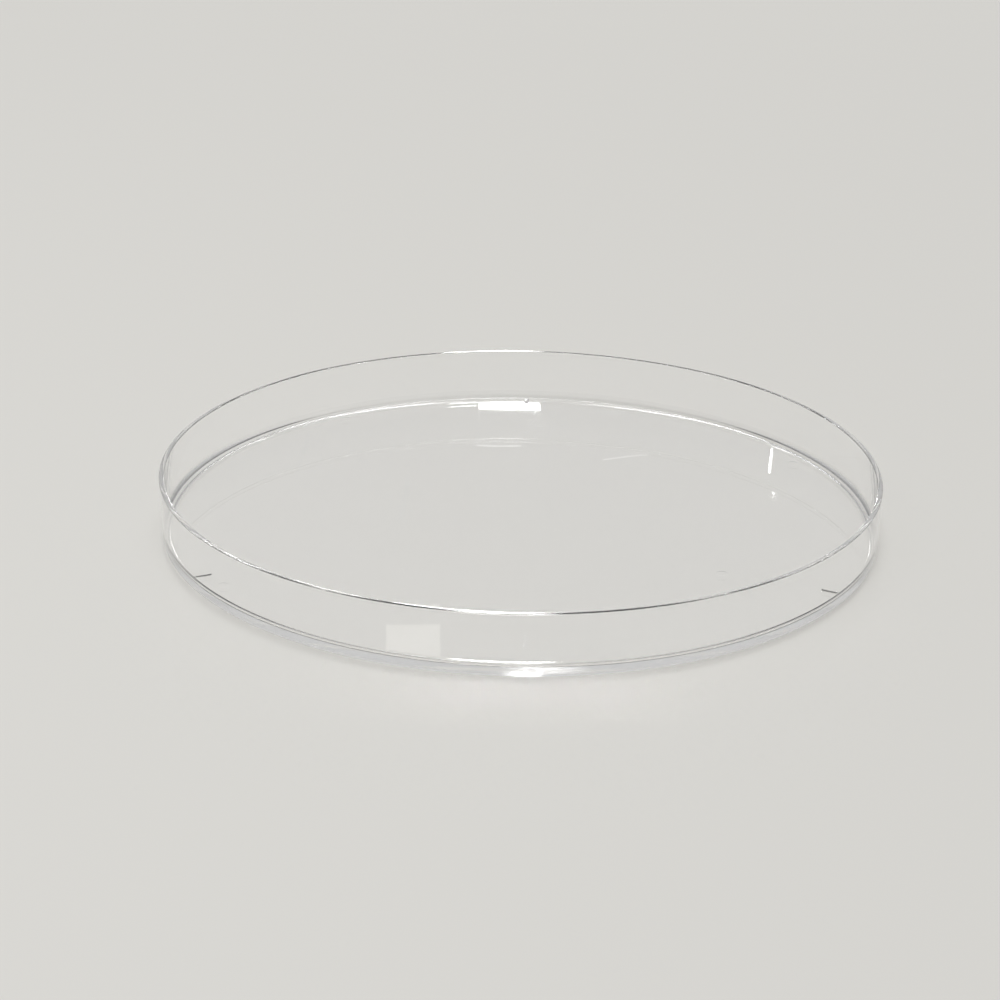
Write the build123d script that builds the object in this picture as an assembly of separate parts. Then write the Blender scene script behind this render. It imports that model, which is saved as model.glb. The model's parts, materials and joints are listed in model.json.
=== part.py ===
from build123d import *
import math
import os

# Shallow clear dish: one moulding, given as its regions, which meet face to face.
# Millimetres, +Z up. The origin is the centre of the underside, on the round axis,
# so the dish stands on the plane z = 0 with its open side up.

# ---- driving dimensions ----
rim_radius = 45.0            # outside of the rim
height = 7.7                 # underside to the top of the rim
bore_radius = 44.35          # straight inside of the wall
floor_thickness = 0.95
heel_radius = 0.6            # rounding of the outer corner, floor to wall
fillet_radius = 1.0          # rounding of the inner corner, floor to wall
wall_draft = 0.15            # how much narrower the outside of the wall is at its foot
lip_height = 1.2             # top part of the wall that counts as the rim
lip_outer_radius = 0.1       # rounding of the rim's outer edge
lip_inner_radius = 0.1       # rounding of the rim's inner edge

rib_count = 3
rib_first_angle = 90.0       # degrees from +X, counterclockwise seen from above
rib_inner_end = 41.4         # distance of a rib's inner end from the axis
rib_width = 0.6
rib_height = 0.15            # above the floor
rib_edge_radius = 0.1        # rounding of a rib's top edges

# ---- worked out from them ----
foot_radius = rim_radius - wall_draft      # outside of the wall just above the heel
flat_radius = foot_radius - heel_radius    # edge of the flat underside
floor_edge = bore_radius - fillet_radius   # edge of the flat inner floor
fillet_top = floor_thickness + fillet_radius
lip_joint = height - lip_height            # where the wall ends and the rim starts
outer_rounding = height - lip_outer_radius
inner_rounding = height - lip_inner_radius


def outside_radius(z):
    """Radius of the drafted outside of the wall at height z."""
    share = (z - heel_radius) / (outer_rounding - heel_radius)
    return foot_radius + wall_draft * share


def around_axis(*edges):
    """Full turn of a closed outline that is drawn in the XZ plane."""
    return revolve(make_face(Wire(list(edges))), Axis.Z, 360)


def arc(start, centre, radius, angle, end):
    """Short arc from start to end that passes through the given angle, in the XZ plane."""
    turn = math.radians(angle)
    middle = (centre[0] + radius * math.cos(turn), 0, centre[1] + radius * math.sin(turn))
    return Edge.make_three_point_arc(start, middle, end)


def line(start, end):
    return Edge.make_line(start, end)


def floor_plate():
    """Flat round floor, out to where the inner corner starts to curve up."""
    return extrude(Circle(floor_edge), floor_thickness)


def corner_ring():
    """Rounded corner between the floor and the wall, with the inner fillet."""
    joint_bottom = (floor_edge, 0, 0)
    joint_top = (floor_edge, 0, floor_thickness)
    heel_start = (flat_radius, 0, 0)
    heel_end = (foot_radius, 0, heel_radius)
    outer_top = (outside_radius(fillet_top), 0, fillet_top)
    inner_top = (bore_radius, 0, fillet_top)
    return around_axis(
        line(joint_bottom, heel_start),
        arc(heel_start, (flat_radius, heel_radius), heel_radius, -45, heel_end),
        line(heel_end, outer_top),
        line(outer_top, inner_top),
        arc(inner_top, (floor_edge, fillet_top), fillet_radius, -45, joint_top),
        line(joint_top, joint_bottom),
    )


def side_wall():
    """Upright wall: straight inside, slightly drafted outside."""
    outer_bottom = (outside_radius(fillet_top), 0, fillet_top)
    outer_top = (outside_radius(lip_joint), 0, lip_joint)
    inner_top = (bore_radius, 0, lip_joint)
    inner_bottom = (bore_radius, 0, fillet_top)
    return around_axis(
        line(outer_bottom, outer_top),
        line(outer_top, inner_top),
        line(inner_top, inner_bottom),
        line(inner_bottom, outer_bottom),
    )


def rim_lip():
    """Top of the wall, with both edges rounded and a narrow flat between them."""
    outer_bottom = (outside_radius(lip_joint), 0, lip_joint)
    outer_side = (rim_radius, 0, outer_rounding)
    outer_flat = (rim_radius - lip_outer_radius, 0, height)
    inner_flat = (bore_radius + lip_inner_radius, 0, height)
    inner_side = (bore_radius, 0, inner_rounding)
    inner_bottom = (bore_radius, 0, lip_joint)
    outer_centre = (rim_radius - lip_outer_radius, outer_rounding)
    inner_centre = (bore_radius + lip_inner_radius, inner_rounding)
    return around_axis(
        line(outer_bottom, outer_side),
        arc(outer_side, outer_centre, lip_outer_radius, 45, outer_flat),
        line(outer_flat, inner_flat),
        arc(inner_flat, inner_centre, lip_inner_radius, 135, inner_side),
        line(inner_side, inner_bottom),
        line(inner_bottom, outer_bottom),
    )


def vent_rib(angle, ring):
    """Small radial rib on the floor, with a round inner end, run into the corner fillet."""
    nose = rib_width / 2
    length = bore_radius - rib_inner_end
    plan = Pos(rib_inner_end + length / 2, 0) * Rectangle(length - 2 * nose, rib_width)
    plan += Pos(rib_inner_end + nose, 0) * Circle(nose)
    plan += Pos(bore_radius - nose, 0) * Rectangle(2 * nose, rib_width)
    bar = extrude(plan, rib_height)
    bar = fillet(bar.faces().sort_by(Axis.Z)[-1].edges(), rib_edge_radius)
    bar = Rot(0, 0, angle) * Pos(0, 0, floor_thickness) * bar
    return bar - ring


def main():
    os.makedirs("parts", exist_ok=True)
    ring = corner_ring()
    nodes = {
        "floor_plate": floor_plate(),
        "corner_ring": ring,
        "side_wall": side_wall(),
        "rim_lip": rim_lip(),
    }
    for number in range(rib_count):
        angle = rib_first_angle + number * 360.0 / rib_count
        nodes[f"vent_rib_{number + 1}"] = vent_rib(angle, ring)
    for name, shape in nodes.items():
        export_step(shape, f"parts/{name}.step")


main()
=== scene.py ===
import json
import math

import bmesh
import bpy
from mathutils import Matrix, Vector


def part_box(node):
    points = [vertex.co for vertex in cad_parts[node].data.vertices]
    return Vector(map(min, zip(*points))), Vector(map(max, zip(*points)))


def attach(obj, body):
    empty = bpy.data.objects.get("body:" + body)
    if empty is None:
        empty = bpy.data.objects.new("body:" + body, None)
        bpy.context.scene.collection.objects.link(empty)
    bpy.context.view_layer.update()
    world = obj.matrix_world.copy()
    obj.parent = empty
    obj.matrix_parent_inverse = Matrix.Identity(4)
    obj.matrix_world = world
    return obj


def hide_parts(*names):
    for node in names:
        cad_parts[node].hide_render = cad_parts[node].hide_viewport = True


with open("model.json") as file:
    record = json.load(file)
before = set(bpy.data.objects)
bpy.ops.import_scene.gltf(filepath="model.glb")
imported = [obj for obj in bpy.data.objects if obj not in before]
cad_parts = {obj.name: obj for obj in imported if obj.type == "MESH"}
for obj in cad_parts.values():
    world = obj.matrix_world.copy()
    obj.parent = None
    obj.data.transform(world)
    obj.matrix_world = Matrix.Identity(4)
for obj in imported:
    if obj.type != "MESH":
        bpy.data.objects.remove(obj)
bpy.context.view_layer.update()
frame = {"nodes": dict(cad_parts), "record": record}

# A shallow clear dish, one moulding, made here as one closed skin that stands for all of its
# CAD regions. Metres, +Z up, origin at the centre of the underside.

MM = 0.001
TURNS = 720                      # steps round the dish
IOR_POLYSTYRENE = 1.59
RIBS = ["vent_rib_1", "vent_rib_2", "vent_rib_3"]
PIN_MARKS = [(29.0, 0.0414), (127.0, 0.0416), (215.0, 0.0415), (325.0, 0.0300)]  # degrees, metres
PIN_INSIDE = 0.55 * MM           # radius of a pin mark's flat middle
PIN_OUTSIDE = 0.75 * MM          # and of its outer edge
PIN_DEPTH = 3.0                  # of a pin mark, against the flow waves' height
RELIEF_DEPTH = 0.004 * MM        # of the flow waves
WALL_PASS = 0.99                 # share of a lamp's light that each upright surface lets through
FLOOR_PASS = 0.97                # and each flat one
CORNER_PASS = 0.62               # and each rounded one
ROOM_NEAR_HORIZON = 0.525        # radiance of the room
ROOM_OVERHEAD = 0.63
PANE_DISTANCE = 1.5              # of the window panes, from the dish
TABLE_GAP = 0.05 * MM            # keeps the table's surface clear of the dish's underside

# ---- sizes read from the frame ----
floor_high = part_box("floor_plate")[1]
corner_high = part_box("corner_ring")[1]
lip_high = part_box("rim_lip")[1]
bore = next(m for m in frame["record"]["mounts"] if m["name"] == "wall_bore")
rim_radius = lip_high[0]
height = lip_high[2]
bore_radius = bore["dims"]["r_mm"] * MM
floor_thickness = floor_high[2]
foot_radius = corner_high[0]
fillet_radius = corner_high[2] - floor_thickness

# ---- roundings and depths, which the frame's boxes don't tell ----
heel_radius = 0.6 * MM           # outer corner, floor to wall
lip_rounding = 0.1 * MM          # both edges of the rim
rib_rounding = 0.1 * MM          # top edges of a rib
rib_sunk = 0.25 * MM             # how far a rib is let into the floor and the wall


def deselect_all():
    if bpy.context.object and bpy.context.object.mode != "OBJECT":
        bpy.ops.object.mode_set(mode="OBJECT")
    bpy.ops.object.select_all(action="DESELECT")


def select_edges(skin, radius, z):
    """In edit mode, select only the ring of edges at a distance from the axis and a height."""
    bpy.ops.mesh.select_all(action="DESELECT")
    bpy.ops.mesh.select_mode(type="EDGE")
    mesh = bmesh.from_edit_mesh(skin.data)
    slack = 0.003 * MM
    for edge in mesh.edges:
        ends = [(math.hypot(v.co.x, v.co.y), v.co.z) for v in edge.verts]
        edge.select = all(abs(r - radius) < slack and abs(h - z) < slack for r, h in ends)
    bmesh.update_edit_mesh(skin.data)


def select_end(skin, z, facing):
    """In edit mode, select the flat end face at height z that looks up (1) or down (-1)."""
    bpy.ops.mesh.select_all(action="DESELECT")
    bpy.ops.mesh.select_mode(type="FACE")
    mesh = bmesh.from_edit_mesh(skin.data)
    for face in mesh.faces:
        level = abs(face.calc_center_median().z - z) < 0.002 * MM
        face.select = level and face.normal.z * facing > 0.99
    bmesh.update_edit_mesh(skin.data)


def dish_body():
    """Cup cut from a disc: inset the top, sink it to the floor, then round the corners."""
    deselect_all()
    bpy.ops.mesh.primitive_cylinder_add(vertices=TURNS, radius=rim_radius, depth=height,
                                        end_fill_type="NGON", location=(0, 0, height / 2))
    skin = bpy.context.object
    skin.name = skin.data.name = "dish_moulding"
    bpy.ops.object.transform_apply(location=True, rotation=True, scale=True)
    bpy.ops.object.mode_set(mode="EDIT")
    select_end(skin, height, 1)
    bpy.ops.mesh.inset(thickness=rim_radius - bore_radius, depth=0)
    bpy.ops.mesh.extrude_region_move(
        TRANSFORM_OT_translate={"value": (0, 0, floor_thickness - height)})
    select_end(skin, 0, -1)
    foot_scale = foot_radius / rim_radius
    bpy.ops.transform.resize(value=(foot_scale, foot_scale, 1))
    select_edges(skin, foot_radius, 0)
    bpy.ops.mesh.bevel(offset=heel_radius, offset_type="OFFSET", segments=16, profile=0.5,
                       affect="EDGES")
    select_edges(skin, bore_radius, floor_thickness)
    bpy.ops.mesh.bevel(offset=fillet_radius, offset_type="OFFSET", segments=12, profile=0.5,
                       affect="EDGES")
    for radius in (rim_radius, bore_radius):
        select_edges(skin, radius, height)
        bpy.ops.mesh.bevel(offset=lip_rounding, offset_type="OFFSET", segments=4, profile=0.5,
                           affect="EDGES")
    bpy.ops.mesh.select_all(action="SELECT")
    bpy.ops.mesh.normals_make_consistent(inside=False)
    bpy.ops.object.mode_set(mode="OBJECT")
    return skin


def vent_rib():
    """First rib: a bar with a round inner end, sunk a little into the floor and the wall."""
    low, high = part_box(RIBS[0])
    start, end = low[1], bore_radius + rib_sunk
    bottom, top = low[2] - rib_sunk, high[2]
    width = high[0] - low[0]
    deselect_all()
    bpy.ops.mesh.primitive_cube_add(size=1, location=(0, (start + end) / 2, (bottom + top) / 2),
                                    scale=(width, end - start, top - bottom))
    bar = bpy.context.object
    bar.name = bar.data.name = "rib"
    bpy.ops.object.transform_apply(location=True, rotation=True, scale=True)
    bpy.ops.object.mode_set(mode="EDIT")
    bpy.ops.mesh.select_mode(type="EDGE")
    bpy.ops.mesh.select_all(action="DESELECT")
    mesh = bmesh.from_edit_mesh(bar.data)
    for edge in mesh.edges:
        a, b = edge.verts
        edge.select = abs(a.co.z - b.co.z) > 0.1 * MM and abs(a.co.y - start) < 0.001 * MM
    bmesh.update_edit_mesh(bar.data)
    almost_half = 0.98 * width / 2        # so that the two roundings stay just apart
    bpy.ops.mesh.bevel(offset=almost_half, offset_type="OFFSET", segments=8, profile=0.5,
                       affect="EDGES")
    bpy.ops.mesh.select_mode(type="FACE")
    bpy.ops.mesh.select_all(action="DESELECT")
    mesh = bmesh.from_edit_mesh(bar.data)
    for face in mesh.faces:
        face.select = face.normal.z > 0.9
    bmesh.update_edit_mesh(bar.data)
    bpy.ops.mesh.region_to_loop()
    bpy.ops.mesh.bevel(offset=rib_rounding, offset_type="OFFSET", segments=4, profile=0.5,
                       affect="EDGES")
    bpy.ops.object.mode_set(mode="OBJECT")
    return bar


def turned_copy(bar, number):
    """Copy of the first rib, with its own mesh, turned to its place round the dish."""
    twin = bar.copy()
    twin.data = bar.data.copy()
    bpy.context.scene.collection.objects.link(twin)
    twin.rotation_euler.z = number * math.tau / len(RIBS)
    deselect_all()
    twin.select_set(True)
    bpy.context.view_layer.objects.active = twin
    bpy.ops.object.transform_apply(location=False, rotation=True, scale=False)
    return twin


def merge(skin, extra):
    """Join a closed piece into the skin as one closed surface."""
    deselect_all()
    skin.select_set(True)
    bpy.context.view_layer.objects.active = skin
    joining = skin.modifiers.new("joining", "BOOLEAN")
    joining.operation = "UNION"
    joining.solver = "EXACT"
    joining.object = extra
    bpy.ops.object.modifier_apply(modifier=joining.name)
    bpy.data.objects.remove(extra, do_unlink=True)


def finish_shading(skin):
    deselect_all()
    skin.select_set(True)
    bpy.context.view_layer.objects.active = skin
    bpy.ops.object.shade_smooth_by_angle(angle=math.radians(40))
    evening = skin.modifiers.new("weighted_normal", "WEIGHTED_NORMAL")
    evening.keep_sharp = True
    evening.weight = 100
    bpy.ops.object.modifier_apply(modifier=evening.name)


def add_node(tree, kind, **settings):
    """New node; a setting is one of the node's modes or, with _ for a space, an input's value."""
    node = tree.nodes.new(kind)
    for key, value in settings.items():
        if key in ("operation", "data_type", "interpolation_type"):
            setattr(node, key, value)
        else:
            node.inputs[key.replace("_", " ")].default_value = value
    return node


def moulded_surface():
    """Shared effect: faint flow waves, round pin marks, fine scratches and handling haze."""
    tree = bpy.data.node_groups.new("moulded_surface", "ShaderNodeTree")
    for name, value in (("Wave Size", 90.0), ("Scratch Size", 700.0), ("Haze", 0.03),
                        ("Rim Dullness", 0.05)):
        socket = tree.interface.new_socket(name, in_out="INPUT", socket_type="NodeSocketFloat")
        socket.default_value = value
    tree.interface.new_socket("Color", in_out="OUTPUT", socket_type="NodeSocketColor")
    tree.interface.new_socket("Roughness", in_out="OUTPUT", socket_type="NodeSocketFloat")
    tree.interface.new_socket("Height", in_out="OUTPUT", socket_type="NodeSocketFloat")
    entry = tree.nodes.new("NodeGroupInput")
    leave = tree.nodes.new("NodeGroupOutput")
    place = tree.nodes.new("ShaderNodeTexCoord")
    link = tree.links.new

    wave = add_node(tree, "ShaderNodeTexNoise", Detail=1.0, Roughness=0.4)
    link(place.outputs["Object"], wave.inputs["Vector"])
    link(entry.outputs["Wave Size"], wave.inputs["Scale"])

    # scratches: noise drawn out along one direction, kept only where it peaks
    stretch = add_node(tree, "ShaderNodeMapping", Scale=(1.0, 0.04, 1.0),
                       Rotation=(0, 0, math.radians(35)))
    link(place.outputs["Object"], stretch.inputs["Vector"])
    scratch = add_node(tree, "ShaderNodeTexNoise", Detail=2.0, Roughness=0.6)
    link(stretch.outputs["Vector"], scratch.inputs["Vector"])
    link(entry.outputs["Scratch Size"], scratch.inputs["Scale"])
    sharp = add_node(tree, "ShaderNodeMapRange", From_Min=0.68, From_Max=0.74)
    link(scratch.outputs["Fac"], sharp.inputs["Value"])

    haze = add_node(tree, "ShaderNodeMapRange", From_Min=0.35, From_Max=0.8)
    link(wave.outputs["Fac"], haze.inputs["Value"])
    rough = add_node(tree, "ShaderNodeMath", operation="MULTIPLY")
    link(haze.outputs["Result"], rough.inputs[0])
    link(entry.outputs["Haze"], rough.inputs[1])
    scuffed = add_node(tree, "ShaderNodeMath", operation="MULTIPLY_ADD")
    scuffed.inputs[1].default_value = 0.05
    link(sharp.outputs["Result"], scuffed.inputs[0])
    link(rough.outputs[0], scuffed.inputs[2])

    # the rim's narrow top is a little duller than the rest
    height_above = tree.nodes.new("ShaderNodeSeparateXYZ")
    link(place.outputs["Object"], height_above.inputs[0])
    rim = add_node(tree, "ShaderNodeMapRange", From_Min=height - 1.4 * lip_rounding,
                   From_Max=height - 0.6 * lip_rounding)
    link(height_above.outputs["Z"], rim.inputs["Value"])
    dulled = add_node(tree, "ShaderNodeMath", operation="MULTIPLY_ADD")
    link(rim.outputs["Result"], dulled.inputs[0])
    link(entry.outputs["Rim Dullness"], dulled.inputs[1])
    link(scuffed.outputs[0], dulled.inputs[2])
    link(dulled.outputs[0], leave.inputs["Roughness"])

    # round marks left by the mould's ejector pins on the inner floor
    relief = wave.outputs["Fac"]
    for angle, reach in PIN_MARKS:
        centre = (reach * math.cos(math.radians(angle)), reach * math.sin(math.radians(angle)),
                  floor_thickness)
        gap = add_node(tree, "ShaderNodeVectorMath", operation="DISTANCE")
        gap.inputs[1].default_value = centre
        link(place.outputs["Object"], gap.inputs[0])
        step = add_node(tree, "ShaderNodeMapRange", interpolation_type="SMOOTHSTEP",
                        From_Min=PIN_INSIDE, From_Max=PIN_OUTSIDE)
        link(gap.outputs["Value"], step.inputs["Value"])
        total = add_node(tree, "ShaderNodeMath", operation="MULTIPLY_ADD")
        total.inputs[1].default_value = PIN_DEPTH
        link(step.outputs["Result"], total.inputs[0])
        link(relief, total.inputs[2])
        relief = total.outputs[0]
    link(relief, leave.inputs["Height"])

    tint = add_node(tree, "ShaderNodeMix", data_type="RGBA")
    tint.inputs[6].default_value = (1.0, 1.0, 1.0, 1)
    tint.inputs[7].default_value = (0.985, 0.992, 0.996, 1)
    link(sharp.outputs["Result"], tint.inputs[0])
    link(tint.outputs[2], leave.inputs["Color"])
    return tree


def clear_plastic():
    """Clear glossy plastic. Rays from lamps pass through it, dimmed at corners and edges."""
    material = bpy.data.materials.new("clear_polystyrene")
    material.use_nodes = True
    tree = material.node_tree
    link = tree.links.new
    shader = tree.nodes["Principled BSDF"]
    output = tree.nodes["Material Output"]
    shader.inputs["IOR"].default_value = IOR_POLYSTYRENE
    shader.inputs["Transmission Weight"].default_value = 1.0
    detail = tree.nodes.new("ShaderNodeGroup")
    detail.node_tree = moulded_surface()
    link(detail.outputs["Color"], shader.inputs["Base Color"])
    link(detail.outputs["Roughness"], shader.inputs["Roughness"])
    bump = tree.nodes.new("ShaderNodeBump")
    bump.inputs["Strength"].default_value = 1.0
    bump.inputs["Distance"].default_value = RELIEF_DEPTH
    link(detail.outputs["Height"], bump.inputs["Height"])
    link(bump.outputs["Normal"], shader.inputs["Normal"])

    # how much of a lamp's light goes through: less where the surface is tilted, as in the corner
    geometry = tree.nodes.new("ShaderNodeNewGeometry")
    split = tree.nodes.new("ShaderNodeSeparateXYZ")
    link(geometry.outputs["Normal"], split.inputs[0])
    upright = add_node(tree, "ShaderNodeMath", operation="ABSOLUTE")
    link(split.outputs["Z"], upright.inputs[0])
    passing = tree.nodes.new("ShaderNodeValToRGB")
    ramp = passing.color_ramp
    ramp.elements[0].position = 0.1
    ramp.elements[0].color = (WALL_PASS, WALL_PASS, WALL_PASS, 1)
    ramp.elements[1].position = 0.99
    ramp.elements[1].color = (FLOOR_PASS, FLOOR_PASS, FLOOR_PASS, 1)
    for position in (0.2, 0.96):
        bend = ramp.elements.new(position)
        bend.color = (CORNER_PASS, CORNER_PASS, CORNER_PASS, 1)
    link(upright.outputs[0], passing.inputs["Fac"])
    clear = tree.nodes.new("ShaderNodeBsdfTransparent")
    link(passing.outputs["Color"], clear.inputs["Color"])
    path = tree.nodes.new("ShaderNodeLightPath")
    mix = tree.nodes.new("ShaderNodeMixShader")
    link(path.outputs["Is Shadow Ray"], mix.inputs["Fac"])
    link(shader.outputs["BSDF"], mix.inputs[1])
    link(clear.outputs["BSDF"], mix.inputs[2])
    link(mix.outputs["Shader"], output.inputs["Surface"])
    return material


dish = dish_body()
rib = vent_rib()
for number in range(len(RIBS)):
    merge(dish, turned_copy(rib, number))
bpy.data.objects.remove(rib, do_unlink=True)
dish.data.materials.append(clear_plastic())
finish_shading(dish)
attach(dish, "root")
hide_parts(*frame["nodes"])

# ---- floor ----
deselect_all()
bpy.ops.mesh.primitive_plane_add(size=8, location=(0, 0, -TABLE_GAP))
table = bpy.context.object
table.name = "table"
table_material = bpy.data.materials.new("table")
table_material.use_nodes = True
table_shader = table_material.node_tree.nodes["Principled BSDF"]
table_shader.inputs["Base Color"].default_value = (0.69, 0.68, 0.65, 1)
table_shader.inputs["Roughness"].default_value = 1.0
table_shader.inputs["Specular IOR Level"].default_value = 0.0
table.data.materials.append(table_material)

# ---- world ----
world = bpy.data.worlds.new("room")
bpy.context.scene.world = world
world.use_nodes = True


def area_light(name, azimuth, elevation, distance, width, tall, power, color=(1, 1, 1)):
    """Rectangular lamp facing the dish; azimuth is counterclockwise from +X, seen from above."""
    data = bpy.data.lights.new(name, "AREA")
    data.shape = "RECTANGLE"
    data.size = width
    data.size_y = tall
    data.energy = power
    data.color = color
    lamp = bpy.data.objects.new(name, data)
    bpy.context.scene.collection.objects.link(lamp)
    a, e = math.radians(azimuth), math.radians(elevation)
    place = Vector((math.cos(a) * math.cos(e), math.sin(a) * math.cos(e), math.sin(e))) * distance
    lamp.location = place
    lamp.rotation_euler = (-place).to_track_quat("-Z", "Y").to_euler()
    return lamp


# the room's radiance, a little brighter overhead than near the horizon
world_tree = world.node_tree
room = world_tree.nodes["Background"]
room.inputs["Strength"].default_value = 1.0
heading = world_tree.nodes.new("ShaderNodeTexCoord")
parts = world_tree.nodes.new("ShaderNodeSeparateXYZ")
world_tree.links.new(heading.outputs["Generated"], parts.inputs[0])
shade = world_tree.nodes.new("ShaderNodeMix")
shade.data_type = "RGBA"
shade.inputs[6].default_value = (ROOM_NEAR_HORIZON, ROOM_NEAR_HORIZON, ROOM_NEAR_HORIZON, 1)
shade.inputs[7].default_value = (ROOM_OVERHEAD, ROOM_OVERHEAD, ROOM_OVERHEAD, 1)
world_tree.links.new(parts.outputs["Z"], shade.inputs[0])
world_tree.links.new(shade.outputs[2], room.inputs["Color"])

# two lamps light the table and cast the dish's shadow; a third, narrow one brightens the
# table just in front of the dish, as light led through the dish's floor does; a call gives
# azimuth, elevation, distance, width, height and power
halo = area_light("led_through", 270, 70, 0.35, 0.034, 0.003, 0.00012)
halo.location.y -= rim_radius + 0.5 * MM     # it then shines just outside the rim
halo.data.spread = math.radians(3)
for lamp in (halo,
             area_light("front_left", 219, 50, 0.75, 0.35, 0.35, 1.45),
             area_light("window_glow", 84, 45, 2.2, 0.32, 0.32, 13.5)):
    lamp.visible_transmission = False
    lamp.visible_glossy = False

# bright window panes that show only as reflections and glints in the plastic; the rows give
# azimuth, elevation, width, height, radiance, roll and colour
for name, azimuth, elevation, width, tall, radiance, roll, color in (
        ("pane_low", 91.28, 18.2, 0.047, 0.09, 20, 0, (1, 1, 1)),
        ("pane_sill", 92.0, 15.5, 0.071, 0.09, 40, 0, (1, 1, 1)),
        ("pane_high", 91.5, 33.0, 0.100, 0.15, 18, 0, (1, 1, 1)),
        ("slit", 83.0, 21.15, 0.0013, 0.020, 8, 0, (1, 1, 1)),
        ("bar_left", 91.6, 20.45, 0.034, 0.0010, 0.8, 0, (1, 1, 1)),
        ("bar_right", 87.65, 20.7, 0.034, 0.0010, 0.5, 9, (1, 1, 1)),
        ("warm_patch", 94.3, 25.95, 0.042, 0.045, 0.38, 0, (1, 0.98, 0.9))):
    lamp = area_light(name, azimuth, elevation, PANE_DISTANCE, width, tall,
                      radiance * math.pi * width * tall, color)
    lamp.rotation_euler.rotate_axis("Z", math.radians(roll))
    lamp.visible_diffuse = False
    lamp.visible_transmission = name not in ("bar_left", "bar_right")
    lamp.visible_glossy = name != "slit"

# ---- camera ----
scene = bpy.context.scene
scene.view_settings.view_transform = "Standard"
scene.cycles.max_bounces = 48
scene.cycles.glossy_bounces = 48
scene.cycles.transmission_bounces = 48
scene.cycles.blur_glossy = 0
camera_data = bpy.data.cameras.new("camera")
camera = bpy.data.objects.new("camera", camera_data)
scene.collection.objects.link(camera)
scene.camera = camera

VIEW_ELEVATION = math.radians(22.559)
VIEW_DISTANCE = 6.6185 * rim_radius
VIEW_TURN = math.radians(0.9)    # the first rib stands this far left of straight behind
LEAN = math.radians(1.067)       # the camera leans this far to its left
AIM_LEFT = math.radians(0.4796)  # the dish's base stands this far right of the view's middle
AIM_UP = math.radians(0.5004)    # and this far below it
camera_data.sensor_width = 36.0
camera_data.lens = 84.6
camera_data.clip_start = 0.01
camera_data.clip_end = 50
towards_camera = Vector((0, -math.cos(VIEW_ELEVATION), math.sin(VIEW_ELEVATION)))
facing = (-towards_camera).to_track_quat("-Z", "Y").to_matrix().to_4x4()
lean = Matrix.Rotation(LEAN, 4, "Z")
aim = Matrix.Rotation(AIM_LEFT, 4, "Y") @ Matrix.Rotation(AIM_UP, 4, "X")
turn = Matrix.Rotation(VIEW_TURN, 4, "Z")
stand = Matrix.Translation(towards_camera * VIEW_DISTANCE)
camera.matrix_world = turn @ stand @ facing @ lean @ aim
